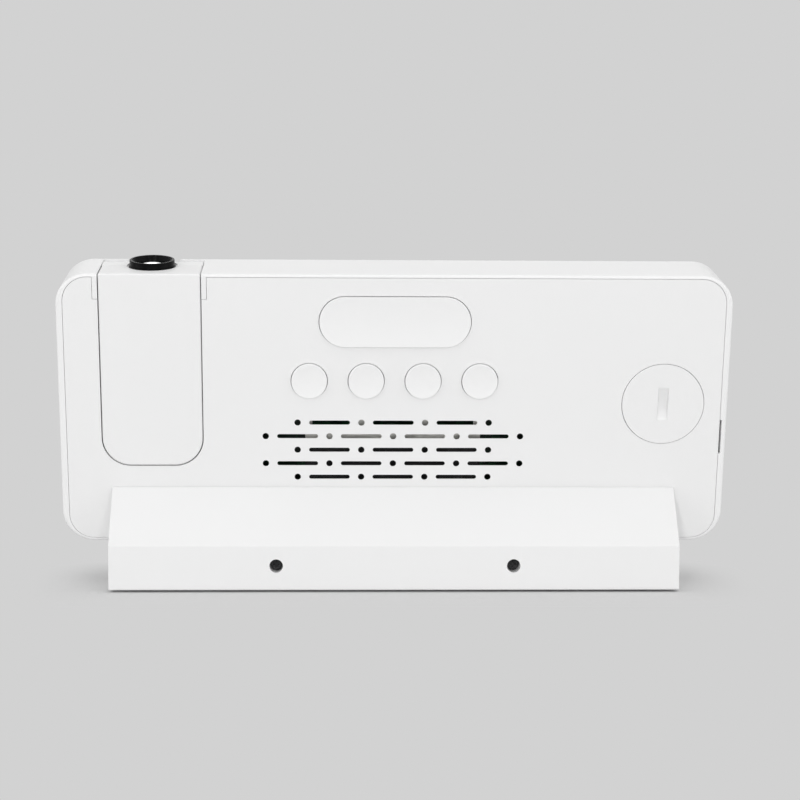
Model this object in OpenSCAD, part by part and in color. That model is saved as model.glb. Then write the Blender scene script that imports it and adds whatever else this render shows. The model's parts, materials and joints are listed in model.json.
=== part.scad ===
// Projection alarm clock: a slim display body that leans back on a wedge foot, with a projector arm
// that swings up out of the rear. Pieces in the body are drawn upright, with the rear face at y = 0
// and the body's bottom at z = 0, and in_body() leans them back on the foot.

/* [Body] */
// Width of the body
body_w = 190; // [186:1:200]
// Height of the body
body_h = 78.6; // [76:0.2:84]
// Depth of the body
body_d = 20.5; // [20.5:0.25:24]
// Radius of the body's corners
corner_r = 9; // [6:0.5:11]
// Rounding of the body's outer edges
edge_r = 0.8; // [0.4:0.1:0.8]
// How far the body leans back, in degrees
lean = 12; // [6:1:15]
// Width of the housing's rim beside the rear cover
rim_side = 1.9; // [1.2:0.1:2.4]
// Width of the housing's rim above and below the rear cover
rim_top = 0.9; // [0.8:0.1:1.4]
// Width of the ledge that the rear cover lies on
ledge = 0.7; // [0.5:0.1:1]
// Thickness of the housing's front wall
front_t = 1.6; // [1.5:0.1:2]
// Thickness of the rear cover
cover_t = 1.8; // [1.5:0.1:2.2]

/* [Display] */
// Margin of the window at the body's ends
window_side = 3.5; // [3:0.5:6]
// Margin of the window at the body's top
window_top = 7.1; // [6:0.1:10]
// Margin of the window at the body's bottom
window_low = 5.5; // [4:0.1:8]
// Thickness of the window
window_t = 1; // [0.8:0.1:1.1]
// Height of a digit
digit_h = 36; // [28:1:40]
// Width of a digit
digit_w = 20; // [16:1:21]
// Distance from digit to digit
digit_pitch = 26; // [25:0.5:27]
// Width of a lit segment
segment_w = 3.6; // [2.5:0.1:4]
// Sideways place of the display's middle
display_x = -20; // [-24:1:-18]

/* [Projector arm] */
// Width of the arm
arm_w = 28.4; // [24:0.2:32]
// Height of the arm
arm_h = 55.8; // [52:0.2:60]
// Distance from the body's end to the arm's centre line
arm_end = 26.2; // [24:0.2:28]
// Radius of the arm's lower corners
arm_r = 8; // [4:0.5:10]
// Gap between the arm and the body
arm_gap = 0.25; // [0.2:0.05:0.4]
// Wall of the arm's shells
arm_wall = 1.3; // [1:0.1:1.5]
// Distance of the hinge axis from the arm's top and front
hinge_inset = 2.6; // [2.4:0.1:3]
// Diameter of the hinge pins
hinge_pin_d = 3.2; // [2.4:0.1:3.4]
// Thickness of the ears that carry the hinge pins
ear_t = 1.4; // [1.2:0.1:1.8]
// Height of the ears
ear_h = 7.2; // [6:0.1:9]

/* [Projector optics] */
// Distance from the arm's front to the lens axis
lens_front = 7.3; // [7.2:0.1:8]
// Diameter of the focus ring
ring_d = 12.7; // [12:0.1:13]
// Height of the focus ring above the arm
ring_h = 1.75; // [1.4:0.05:2]
// Diameter of the focus ring's flange
flange_d = 13.7; // [13.3:0.1:14]
// Thickness of the flange
flange_t = 0.5; // [0.4:0.1:0.7]
// Diameter of the focus ring's sleeve
sleeve_d = 10.4; // [10:0.1:10.6]
// Length of the sleeve
sleeve_l = 9; // [7:0.5:11]

/* [Buttons] */
// Width of the long snooze button
snooze_w = 42.6; // [36:0.2:48]
// Height of the snooze button
snooze_h = 14.4; // [12:0.2:15]
// Distance from the body's top to the snooze button's centre
snooze_drop = 13.5; // [12.5:0.1:14.5]
// Travel of the snooze button
snooze_travel = 0.9; // [0.5:0.1:1]
// Number of round buttons
button_count = 4; // [4]
// Diameter of a round button
button_d = 10.1; // [8:0.1:12]
// Distance from button to button
button_pitch = 16.1; // [14:0.1:18]
// Distance from the snooze button's centre down to the round buttons' centres
button_drop = 17.2; // [15:0.1:18]
// Travel of a round button
button_travel = 0.7; // [0.4:0.1:0.8]
// How far the buttons stand out of the rear cover
button_proud = 0.9; // [0.6:0.1:1.4]
// Gap round a button
button_gap = 0.2; // [0.15:0.05:0.3]

/* [Battery] */
// Diameter of the battery cover
battery_cover_d = 23.4; // [23:0.1:25]
// Distance from the body's end to the battery cover's centre
battery_end = 18.6; // [18:0.1:20]
// Height of the battery cover's centre
battery_z = 41.3; // [40:0.1:43]
// Diameter of the coin cell
cell_d = 20; // [20]
// Thickness of the coin cell
cell_t = 3.2; // [3.2]
// Width of the coin slot
coin_slot_w = 3; // [2:0.1:3.4]

/* [Speaker grille] */
// Distance from row to row
grille_row = 4.05; // [3.6:0.05:4.2]
// Distance from a dot to the next slot
grille_pitch = 9.07; // [8.6:0.01:9.2]
// Distance from the round buttons' centres down to the grille's middle row
grille_drop = 20.4; // [20:0.1:22]
// Diameter of a dot
dot_d = 1.8; // [1.4:0.1:2.2]
// Length of a slot
slot_l = 11.6; // [10:0.1:12]
// Width of a slot
slot_w = 1.2; // [0.9:0.1:1.5]

/* [Foot] */
// Width of the foot
foot_w = 161; // [150:1:170]
// Height of the body's rear lower edge above the table
stand_h = 12.5; // [12:0.1:14]
// How far the foot reaches behind that edge
foot_back = 15.9; // [14:0.1:18]
// How far the foot reaches in front of it
foot_front = 17.5; // [15:0.1:18]
// Height of the foot's rear wall
foot_rear_h = 13.1; // [12.5:0.1:14]
// How far up the rear cover the foot reaches
foot_up = 17; // [15:0.1:17.5]
// Wall of the foot
foot_wall = 2; // [1.6:0.1:2.2]
// How far the rubber pads stand out
pad_h = 0.6; // [0.5:0.1:1]
// Distance between the two foot screws
foot_screw_pitch = 67; // [60:1:72]
// Height of the foot screws
foot_screw_z = 7.5; // [7:0.1:8]
// Diameter of the counterbores over the foot screws
counterbore_d = 3.8; // [3.8:0.1:4.6]
// Depth of the counterbores
counterbore_l = 5.5; // [4:0.5:7]

/* [Port] */
// Height of the charging port's centre
port_z = 31.5; // [30:0.5:32]
// Width of the port's metal shell
port_w = 9; // [8.4:0.1:9.4]
// Thickness of the port's metal shell
port_t = 3.2; // [2.6:0.1:3.3]

/* [Hidden] */
$fn = 48;

fit = 0.1;                                   // gap between pieces that are fixed together
run = 0.05;                                  // radial gap of a turning fit
eps = 0.01;                                  // overlap that joins the features of one piece
shift_y = (body_d * cos(lean) - body_h * sin(lean)) / 2;   // puts the origin under the middle
cover_w = body_w - 2 * rim_side;
cover_h = body_h - 2 * rim_top;
cover_r = corner_r - rim_side;
inner_w = cover_w - 2 * ledge;
inner_h = cover_h - 2 * ledge;
inner_r = corner_r - rim_side - ledge;
inside_y = -body_d + front_t;                // inner face of the front wall
arm_x = body_w / 2 - arm_end;
arm_d = body_d - front_t - 0.4;
arm_bottom = body_h - arm_h;
pocket_w = arm_w + 2 * arm_gap;
pocket_wall = ear_t;
hinge_y = -arm_d + hinge_inset;
hinge_z = body_h - hinge_inset;
lens_y = -arm_d + lens_front;
seat_depth = 0.3;                            // the flange's seat in the arm's top
notch_gap = 0.5;                             // room round the flange in the housing's notch
seat_z = body_h - seat_depth;
sleeve_wall = 0.6;
sleeve_bore_d = sleeve_d - 2 * sleeve_wall;
barrel_wall = 0.9;
barrel_d = sleeve_d + 2 * run + 2 * barrel_wall;
barrel_top = seat_z - run;
barrel_box_w = 15;
barrel_l = 34.6;
barrel_box_z = body_h - barrel_l;
barrel_box_t = 2 * (lens_front - arm_wall - fit);
barrel_box_l = 16;
barrel_tube_z = barrel_box_z + barrel_box_l;
light_bore_d = 8.6;                          // bore that the light passes through
condenser_d = 10;
condenser_t = 3;
condenser_z = 5;                             // flat face of the condenser above the LED's board
lcd_w = 11;
lcd_h = 9.4;
lcd_t = 1.1;
lcd_z = barrel_box_z + 11;
led_d = 4;
led_t = 1.9;
led_board_w = 14;
led_board_t = 1.2;
arm_screw_x = 7;
arm_screw_up = 7;
arm_screw_l = 10;
guide_t = 1;
lead_d = 1.2;
lead_x = arm_w / 2 - arm_wall - 1.7;         // sideways place of the lead's run inside the arm
lead_bore_d = lead_d + 0.4;
lead_clear = 1.5;                            // how far the lead's line keeps from the board
lead_end_x = pocket_w / 2 + ear_t + 0.2;     // where the lead leaves the hinge pin
lens_t = 3;
lens_seat = 0.6;                             // step that the lens rests on inside the sleeve
lens_rise = 0.8;                             // height of the lens's crown above the ring's seat
lens_r = 6.5;                                // radius of the lens's domed face
board_t = 1.6;
reflector_margin = 10;
reflector_w = 4 * digit_pitch + 2 * reflector_margin;
reflector_h = digit_h + reflector_margin;
colon_gap = 3;                               // how far the colon spreads the two middle digits
segment_t = 2;
led_chip_w = 1.6;
led_chip_t = 0.7;
reflector_front = -body_d + window_t + fit;
board_gap = 6.9;
board_front = inside_y + board_gap;
board_rear = board_front + board_t;
window_h = body_h - window_top - window_low;
function digit_x(i) = display_x + (i - 1.5) * digit_pitch + (i < 2 ? -colon_gap : colon_gap);
display_z = window_low + window_h / 2;
snooze_z = body_h - snooze_drop;
button_z = snooze_z - button_drop;
grille_z = button_z - grille_drop;
board_margin = 8.5;
board_left = -body_w / 2 + rim_side + ledge + 1.4;
board_right = arm_x - pocket_w / 2 - pocket_wall - 6;
board_low = board_margin;
board_high = body_h - board_margin;
board_screw_l = 6;
chip_w = 10;
chip_t = 1.4;
chip_x = -45;
crystal_l = 8;
crystal_d = 3;
capacitor_d = 6.3;
capacitor_l = 6;
post_inset = 3.2;                            // centre of a board screw from the board's edges
post_d = 5;
screw_d = 2;
screw_head_d = 3.5;
screw_head_t = 1.3;
screw_play = 0.3;                            // how much wider a through hole is than its screw
boss_h = 1;                                  // bosses under the rear cover at its screws
case_screw_l = 9;
case_screw_z = 7;
case_screw_x = [-66, -36, 36, 66];
catch_x = [-70, -30, 10, 40];                // places of the cover's top hooks
switch_w = 6;
switch_body = 3.4;
switch_top = 4.3;
switch_stem_d = 3.4;
switch_y = board_rear + switch_top;
stem_d = 3.4;
skirt = 0.4;                                 // how far a button's cap reaches below the cover
dish = 0.4;                                  // depth of the dish in a button
snooze_dish_r = 60;
button_dish_r = 30;
button_lip = 2;                              // how much wider a button's hidden lip is
lip_thick = 0.8;
battery_x = -body_w / 2 + battery_end;
well_gap = 0.15;
well_r = battery_cover_d / 2 + well_gap;
well_wall = 1.3;
battery_cover_t = 2;
cell_y = -battery_cover_t - fit;             // outer face of the cell
contact_t = 0.3;
well_floor_y = cell_y - cell_t - 0.5;
well_floor_t = 1;
lip_r = cell_d / 2 + 1.1;                    // opening of the bayonet lip
lip_t = 0.7;
lug_r = battery_cover_d / 2 - fit;
undercut_r = well_r + 0.3;                   // room behind the lip for the lugs
lug_t = 0.6;
lug_angle = 40;
speaker_x = 0.5;
speaker_w = 50;
speaker_y = -cover_t - fit;
speaker_top = grille_z + grille_row + 1.4;
speaker_h = 21;
speaker_low = speaker_top - speaker_h;
speaker_cone_h = 16.6;
speaker_cone_z = speaker_low + 1 + speaker_cone_h / 2;
frame_t = 0.7;
cone_t = 2.6;
cone_edge = 2.5;
dust_cap_d = 9;
speaker_tab = 4;
magnet_d = 14;
magnet_gap = 0.5;
speaker_lead_d = 0.8;
cover_lip_w = 1;
cover_lip_h = 1.2;
coin_r = 10.8;                               // radius of the disc that cuts the coin slot
coin_depth = 1.1;
clip_w = 6;
clip_h = 3;
clip_nose = 0.4;
clip_x = [-60, 0, 60];
snooze_switch_x = 12;
snooze_screen_x = 0.2;
button_x0 = 0.2 + button_pitch * (button_count - 1) / 2;
grille_x = 0.45;
foot_cut = fit;                              // gap between the body and the foot
foot_edge = 0.5;
lug_w = 10;
lug_back = -2.6;
lug_front = -8;
lug_low = 3.6;
lug_high = 1.9;                              // how far the lugs reach into the body's bottom wall
foot_screw_l = 19;
pad_t = 1.4;
pad_w = 14;
pad_l = 5;
base_t = 1.6;
port_x = -body_w / 2 + 0.5;
port_l = 6;
port_gap = 0.3;
port_wall = 0.35;
port_floor = 1;
tongue_w = 6.6;
tongue_t = 0.7;
tongue_in = 1.6;                             // how far the tongue stays inside the port's mouth

// Leans the body's pieces back on the foot.
module in_body() {
  translate([0, shift_y, stand_h]) rotate([-lean, 0, 0]) children();
}

// The foot's pieces stand upright.
module in_foot() {
  translate([0, shift_y, 0]) children();
}

// Rectangle with round corners, centred.
module outline(w, h, r) {
  square([w - 2 * r, h], center = true);
  square([w, h - 2 * r], center = true);
  for (x = [-1, 1], y = [-1, 1]) translate([x * (w / 2 - r), y * (h / 2 - r)]) circle(r);
}

// Upright plate between two depths, centred on the body's height.
module plate(w, h, r, y0, y1) {
  translate([0, y1, body_h / 2]) rotate([90, 0, 0]) linear_extrude(y1 - y0) outline(w, h, r);
}

// Bar with round ends, standing out along y, centred on x and z.
module pill(w, h, y0, y1) {
  translate([0, y1, 0]) rotate([90, 0, 0]) linear_extrude(y1 - y0) {
    square([w - h, h], center = true);
    for (s = [-1, 1]) translate([s * (w - h) / 2, 0]) circle(h / 2);
  }
}

// Round bar along y between two depths.
module post(d, y0, y1) {
  translate([0, y1, 0]) rotate([90, 0, 0]) cylinder(h = y1 - y0, d = d);
}

module block(x0, x1, y0, y1, z0, z1) {
  translate([x0, y0, z0]) cube([x1 - x0, y1 - y0, z1 - z0]);
}

// Outside of the body: one rounded block with softened edges.
module body_block() {
  hull() for (x = [-1, 1], z = [0, 1])
    translate([x * (body_w / 2 - corner_r), 0, z ? body_h - corner_r : corner_r])
      rotate([90, 0, 0]) corner_post(corner_r, body_d, edge_r);
}

// Post whose two ends are rounded over.
module corner_post(r, l, e) {
  rotate_extrude($fn = 64) polygon(concat(
    [[0, 0]],
    [for (a = [0 : 22.5 : 90]) [r - e + e * sin(a), e - e * cos(a)]],
    [for (a = [0 : 22.5 : 90]) [r - e + e * cos(a), l - e + e * sin(a)]],
    [[0, l]]));
}

// Space that the arm folds into, grown by g on all sides.
module arm_space(g, y0, y1) {
  w = arm_w + 2 * g;
  low = arm_bottom - g;
  r = arm_r + g;
  translate([arm_x, y1, 0]) rotate([90, 0, 0]) linear_extrude(y1 - y0) {
    translate([-w / 2, low + r]) square([w, body_h + 5 - low - r]);
    translate([-w / 2 + r, low]) square([w - 2 * r, r + 1]);
    for (s = [-1, 1]) translate([s * (w / 2 - r), low + r]) circle(r);
  }
}

// Screw along y with its head towards +y at y = 0.
module screw(l) {
  rotate([90, 0, 0]) difference() {
    union() {
      cylinder(h = l, d = screw_d);
      cylinder(h = screw_head_t, d = screw_head_d);
    }
    for (a = [0, 90]) rotate(a) translate([-1, -0.25, -eps]) cube([2, 0.5, 0.7]);
  }
}

module board_screw_places() {
  for (x = [board_left + post_inset, board_right - post_inset],
       z = [board_low + post_inset, board_high - post_inset])
    translate([x, 0, z]) children();
}

module case_screw_places() {
  for (x = case_screw_x) translate([x, 0, case_screw_z]) children();
}

module button_places() {
  for (i = [0 : button_count - 1]) translate([button_x0 - i * button_pitch, 0, button_z]) children();
}

// Housing: front wall, side walls and rim, the arm's pocket with its hinge ears, and the foot lugs.
module front_housing() {
  color("gainsboro") {
    in_body() difference() {
      union() {
        difference() {
          body_block();
          plate(cover_w, cover_h, cover_r, -cover_t, 1);
          plate(inner_w, inner_h, inner_r, inside_y, 1);
        }
        pocket_walls();
        board_screw_places() post(post_d, inside_y - eps, board_front);
        case_screw_places() post(post_d, inside_y - eps, -cover_t - boss_h - fit);
      }
      arm_space(arm_gap, inside_y, 1);
      window_cuts();
      lens_notch();
      hinge_bores();
      board_screw_places() post(screw_d - 0.2, inside_y + 0.6, board_front + 1);
      case_screw_places() post(screw_d - 0.2, inside_y + 1, 1);
      port_cut();
      pry_slot();
      cover_catches();
    }
    foot_lugs();
  }
}

// Walls round the arm's pocket, and the two ears that reach the rear face.
module pocket_walls() {
  intersection() {
    plate(inner_w + eps, inner_h + eps, inner_r, inside_y - eps, 0);
    difference() {
      union() {
        arm_space(arm_gap + pocket_wall, inside_y - eps, -cover_t);
        block(arm_x - pocket_w / 2 - ear_t, arm_x + pocket_w / 2 + ear_t,
              inside_y, 0, body_h - ear_h, body_h);
      }
      arm_space(arm_gap, inside_y, 1);
    }
  }
  for (s = [-1, 1])
    translate([arm_x + s * (pocket_w + ear_t) / 2, 0, 0])
      block(-ear_t / 2, ear_t / 2, -cover_t - 1, 0, body_h - ear_h, body_h - edge_r);
}

// Recess for the window, and the opening that the display looks out of.
module window_cuts() {
  translate([0, 0, display_z - body_h / 2])
    plate(body_w - 2 * window_side, window_h, corner_r - window_side, -body_d - 1, -body_d + window_t);
  block(display_x - reflector_w / 2 - fit, display_x + reflector_w / 2 + fit, -body_d - 1, inside_y + 1,
        display_z - reflector_h / 2 - fit, display_z + reflector_h / 2 + fit);
}

// Notch in the front wall that the focus ring dips into when the arm is up.
module lens_notch() {
  w = flange_d + 2 * notch_gap;
  low = hinge_z + lens_y - hinge_y - flange_d / 2 - notch_gap;
  block(arm_x - w / 2, arm_x + w / 2, -body_d - 1, inside_y + 1, low, body_h + 1);
}

module hinge_bores() {
  translate([arm_x, hinge_y, hinge_z]) rotate([0, 90, 0])
    cylinder(h = pocket_w + 2 * ear_t + 2, d = hinge_pin_d + 2 * run, center = true);
}

module port_cut() {
  translate([-body_w / 2 - 1, board_rear + port_t / 2, port_z])
    port_shell(port_w + 2 * port_gap, port_t + 2 * port_gap, rim_side + ledge + 2);
}

// Slot in the rim for prying the rear cover off.
module pry_slot() {
  block(-cover_w / 2 - 0.5, -cover_w / 2 + 1, -cover_t - 0.5, 1, port_z - 5, port_z + 5);
}

// Windows in the top wall that the rear cover's hooks snap into.
module cover_catches() {
  for (x = catch_x)
    block(x - 4.2, x + 4.2, -cover_t - 2.6, -cover_t - 1.2, body_h - rim_top - ledge - 1, body_h - rim_top);
}

// Two lugs under the body that the foot screws bite into.
module foot_lugs() {
  in_foot() for (s = [-1, 1]) translate([s * foot_screw_pitch / 2, 0, 0]) difference() {
    block(-lug_w / 2, lug_w / 2, lug_front, lug_back, lug_low, stand_h + lug_high);
    translate([0, 0, foot_screw_z]) post(screw_d - 0.2, lug_front + 0.8, lug_back + 1);
  }
}

module display_window() {
  color("#1d1f23") in_body() translate([0, 0, display_z - body_h / 2])
    plate(body_w - 2 * window_side - 2 * fit, window_h - 2 * fit, corner_r - window_side - fit,
          -body_d, -body_d + window_t);
}

// Rear cover: plate with button wells, speaker grille, battery well and the arm's opening.
module rear_cover() {
  color("whitesmoke") in_body() difference() {
    union() {
      plate(cover_w - 2 * fit, cover_h - 2 * fit, cover_r - fit, -cover_t, 0);
      cover_lip();
      translate([battery_x, 0, battery_z]) post(2 * (well_r + well_wall), well_floor_y - well_floor_t, -eps);
      for (x = catch_x) cover_hook(x);
      case_screw_places() post(post_d, -cover_t - boss_h, -cover_t + eps);
    }
    arm_space(arm_gap, -cover_t - 5, 1);
    ear_cuts();
    translate([snooze_screen_x, 0, snooze_z])
      pill(snooze_w + 2 * button_gap, snooze_h + 2 * button_gap, -10, 1);
    button_places() post(button_d + 2 * button_gap, -10, 1);
    grille();
    battery_well();
    case_screw_places() post(screw_d + screw_play, -cover_t - boss_h - 1, 1);
    case_screw_places() post(screw_head_d + screw_play, -screw_head_t - fit, 1);
  }
}

// Lip under the cover that centres it in the housing.
module cover_lip() {
  difference() {
    plate(inner_w - 2 * fit, inner_h - 2 * fit, inner_r - fit, -cover_t - cover_lip_h, -cover_t + eps);
    plate(inner_w - 2 * fit - 2 * cover_lip_w, inner_h - 2 * fit - 2 * cover_lip_w, inner_r - fit - cover_lip_w,
          -cover_t - cover_lip_h - 1, -cover_t);
    arm_space(arm_gap + pocket_wall + fit, -cover_t - cover_lip_h - 1, -cover_t);
  }
}

// Hook on the cover's top edge.
module cover_hook(x) {
  top = cover_h + rim_top - ledge - fit;
  block(x - 3.5, x + 3.5, -cover_t - 2.9, -cover_t + eps, top - 1.2, top);
  block(x - 3.5, x + 3.5, -cover_t - 2.4, -cover_t - 1.4, top - 1, top + ledge);
}

module ear_cuts() {
  block(arm_x - pocket_w / 2 - ear_t - fit, arm_x + pocket_w / 2 + ear_t + fit, -cover_t - 5, 1,
        body_h - ear_h - fit, body_h + 1);
}

// Staggered rows: dots and slots take turns along each row.
module grille() {
  for (row = [-2 : 2]) {
    wide = row % 2 != 0;
    dots = wide ? 5 : 4;
    translate([grille_x, 0, grille_z + row * grille_row]) {
      for (i = [0 : dots - 1]) translate([(i - (dots - 1) / 2) * 2 * grille_pitch, 0, 0])
        post(dot_d, -cover_t - 1, 1);
      for (i = [0 : dots - 2]) translate([(i - (dots - 2) / 2) * 2 * grille_pitch, 0, 0])
        pill(slot_l, slot_w, -cover_t - 1, 1);
    }
  }
}

// Round well with a bayonet lip under the cover.
module battery_well() {
  translate([battery_x, 0, battery_z]) {
    post(2 * well_r, -battery_cover_t, 1);
    post(2 * lip_r, well_floor_y, 1);
    post(2 * undercut_r, well_floor_y, -battery_cover_t - lip_t);
    for (s = [0, 180]) rotate([0, s + 60, 0])
      bayonet_sector(lug_r + fit, -battery_cover_t - lip_t - eps, -battery_cover_t + eps, lug_angle + 8);
    translate([0, 0, -6]) block(-1.6, 1.6, well_floor_y - well_floor_t - 1, well_floor_y + 1, -0.5, 0.5);
    translate([0, 0, cell_d / 2]) block(-1.6, 1.6, well_floor_y - well_floor_t - 1, well_floor_y + 1, 0, 0.5);
  }
}

// Slice of a disc about y, centred on +x.
module bayonet_sector(r, y0, y1, a) {
  translate([0, y1, 0]) rotate([90, 0, 0]) rotate(-a / 2) rotate_extrude(angle = a) square([r, y1 - y0]);
}

module battery_cover() {
  color("whitesmoke") in_body() translate([battery_x, 0, battery_z]) difference() {
    union() {
      post(battery_cover_d, -battery_cover_t + run, 0.15);
      post(2 * (lip_r - 0.15), -battery_cover_t - lip_t - run, -battery_cover_t + 0.5);
      for (s = [0, 180]) rotate([0, s, 0]) bayonet_sector(lug_r, -battery_cover_t - lip_t - run - lug_t,
                                                      -battery_cover_t - lip_t - run, lug_angle);
    }
    post(cell_d + 0.5, -battery_cover_t - lip_t - 2, -battery_cover_t + run);
    coin_slot();
  }
}

// Slot with the curve of a coin's edge.
module coin_slot() {
  translate([0, coin_r - coin_depth, 0]) rotate([0, 90, 0])
    cylinder(h = coin_slot_w, r = coin_r, center = true, $fn = 120);
}

module coin_cell() {
  color("silver") in_body() translate([battery_x, 0, battery_z]) {
    post(cell_d, cell_y - cell_t + 0.5, cell_y - 0.05);
    post(cell_d - 2.6, cell_y - cell_t, cell_y - cell_t + 0.6);
  }
}

// Leaf under the cell, with a leg through the well's floor to the board.
module battery_contact_minus() {
  color("goldenrod") in_body() translate([battery_x, 0, battery_z]) {
    block(-3, 3, cell_y - cell_t - contact_t, cell_y - cell_t, -6, 5);
    block(-1.5, 1.5, board_rear, cell_y - cell_t - contact_t + eps, -6, -6 + contact_t);
  }
}

// Clip beside the cell, with a leg through the well's floor to the board.
module battery_contact_plus() {
  color("goldenrod") in_body() translate([battery_x, 0, battery_z])
    block(-1.5, 1.5, board_rear, cell_y - cell_t + 1.6, cell_d / 2 + fit, cell_d / 2 + fit + contact_t);
}

module main_board() {
  color("seagreen") in_body() difference() {
    block(board_left, board_right, board_front, board_rear, board_low, board_high);
    board_screw_places() post(screw_d + screw_play, board_front - 1, board_rear + 1);
    case_screw_places() post(post_d + 0.6, board_front - 1, board_rear + 1);
  }
}

module board_screws() {
  color("dimgray") in_body() board_screw_places()
    translate([0, board_rear + screw_head_t, 0]) screw(board_screw_l);
}

module case_screws() {
  color("dimgray") in_body() case_screw_places() translate([0, -fit, 0]) screw(case_screw_l);
}

// Four seven-segment figures and a colon, run through a depth range.
module segment_bars(y0, y1) {
  for (i = [0 : 3]) translate([digit_x(i), y1, display_z])
    rotate([90, 0, 0]) linear_extrude(y1 - y0) digit_outline();
  for (z = [-1, 1]) translate([display_x, 0, display_z + z * digit_h / 6]) post(segment_w, y0, y1);
}

module digit_outline() {
  for (z = [-1, 0, 1]) translate([0, z * (digit_h - segment_w) / 2]) bar(digit_w - segment_w);
  for (x = [-1, 1], z = [-1, 1])
    translate([x * (digit_w - segment_w) / 2, z * (digit_h - segment_w) / 4])
      rotate(90) bar((digit_h - segment_w) / 2);
}

// One flat bar with pointed ends.
module bar(l) {
  b = segment_w / 2 - 0.2;
  e = l / 2 - 0.3;
  polygon([[-e, 0], [-e + b, b], [e - b, b], [e, 0], [e - b, -b], [-e + b, -b]]);
}

module digit_reflector() {
  color("white") in_body() difference() {
    block(display_x - reflector_w / 2, display_x + reflector_w / 2, reflector_front, board_front,
          display_z - reflector_h / 2, display_z + reflector_h / 2);
    segment_bars(reflector_front - 1, board_front + 1);
  }
}

module digit_segments() {
  color("orangered") in_body() segment_bars(reflector_front, reflector_front + segment_t);
}

// One LED on the board behind each segment and each dot of the colon.
module digit_leds() {
  color("gold") in_body() {
    for (i = [0 : 3]) translate([digit_x(i), 0, display_z]) {
      for (z = [-1, 0, 1]) translate([0, 0, z * (digit_h - segment_w) / 2]) led_chip();
      for (x = [-1, 1], z = [-1, 1])
        translate([x * (digit_w - segment_w) / 2, 0, z * (digit_h - segment_w) / 4]) led_chip();
    }
    for (z = [-1, 1]) translate([display_x, 0, display_z + z * digit_h / 6]) led_chip();
  }
}

module led_chip() {
  w = led_chip_w / 2;
  block(-w, w, board_front - led_chip_t, board_front, -w, w);
}

// Controller of the clock, in a flat square package.
module control_chip() {
  color("#202020") in_body() translate([chip_x, 0, snooze_z - 10]) difference() {
    block(-chip_w / 2, chip_w / 2, board_rear, board_rear + chip_t, -chip_w / 2, chip_w / 2);
    translate([chip_w / 2 - 1.5, 0, chip_w / 2 - 1.5]) post(1, board_rear + chip_t - 0.1, board_rear + chip_t + 1);
  }
}

// Quartz can that keeps the time, lying on the board.
module crystal() {
  color("silver") in_body()
    translate([chip_x + chip_w / 2 + 2.5, board_rear + crystal_d / 2, snooze_z - 10 - crystal_l / 2])
    cylinder(h = crystal_l, d = crystal_d);
}

// Can that smooths the supply, standing on the board near the port.
module power_capacitor() {
  color("silver") in_body() translate([battery_x + 4, 0, board_low + 8])
    post(capacitor_d, board_rear, board_rear + capacitor_l);
}

module tact_switches() {
  color("black") in_body() {
    button_places() tact_switch();
    for (s = [-1, 1]) translate([snooze_screen_x + s * snooze_switch_x, 0, snooze_z]) tact_switch();
  }
}

module tact_switch() {
  block(-switch_w / 2, switch_w / 2, board_rear, board_rear + switch_body, -switch_w / 2, switch_w / 2);
  post(switch_stem_d, board_rear + switch_body - eps, switch_y);
}

module charging_port() {
  color("silver") in_body() difference() {
    translate([port_x, board_rear + port_t / 2, port_z]) port_shell(port_w, port_t, port_l);
    translate([port_x - port_floor, board_rear + port_t / 2, port_z])
      port_shell(port_w - 2 * port_wall, port_t - 2 * port_wall, port_l);
  }
}

// Insulating tongue that carries the port's contacts.
module port_tongue() {
  color("#202020") in_body() translate([port_x, board_rear + port_t / 2, port_z])
    block(tongue_in, port_l - port_floor, -tongue_t / 2, tongue_t / 2, -tongue_w / 2, tongue_w / 2);
}

// Flat tube along x with round sides.
module port_shell(w, t, l) {
  rotate([0, 90, 0]) linear_extrude(l) {
    square([w - t, t], center = true);
    for (s = [-1, 1]) translate([s * (w - t) / 2, 0]) circle(t / 2);
  }
}

// Pressed plate with four tabs that holds the speaker behind the grille.
module speaker_frame() {
  color("silver") in_body() translate([speaker_x, 0, 0]) difference() {
    union() {
      block(-speaker_w / 2, speaker_w / 2, speaker_y - frame_t, speaker_y, speaker_low, speaker_top);
      for (x = [-speaker_w / 2 + 1, -grille_pitch, grille_pitch, speaker_w / 2 - 1])
        block(x - 1, x + 1, speaker_y - frame_t, speaker_y, speaker_top - eps, speaker_top + speaker_tab);
    }
    translate([0, 0, speaker_cone_z]) pill(speaker_w - 6, speaker_cone_h, speaker_y - 2, speaker_y + 1);
  }
}

module speaker_cone() {
  color("#202020") in_body() translate([speaker_x, 0, speaker_cone_z]) {
    difference() {
      pill(speaker_w - 4, speaker_cone_h + 2, speaker_y - frame_t - cone_t, speaker_y - frame_t);
      pill(speaker_w - 4 - 2 * cone_edge, speaker_cone_h + 2 - 2 * cone_edge,
           speaker_y - frame_t - cone_t + 1, speaker_y);
    }
    translate([0, speaker_y - frame_t - cone_t + 1 - eps, 0]) intersection() {
      sphere(d = dust_cap_d);
      post(dust_cap_d, 0, cone_t - 1.2);
    }
  }
}

module speaker_magnet() {
  color("dimgray") in_body() translate([speaker_x, 0, speaker_cone_z])
    post(magnet_d, board_rear + magnet_gap, speaker_y - frame_t - cone_t);
}

// Round wire through a list of points, with flat ends.
module wire(points, d) {
  for (i = [1 : len(points) - 2]) translate(points[i]) sphere(d = d, $fn = 24);
  for (i = [1 : len(points) - 1]) {
    v = points[i] - points[i - 1];
    translate(points[i - 1]) rotate([0, acos(v[2] / norm(v)), atan2(v[1], v[0])])
      cylinder(h = norm(v), d = d, $fn = 24);
  }
}

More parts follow.
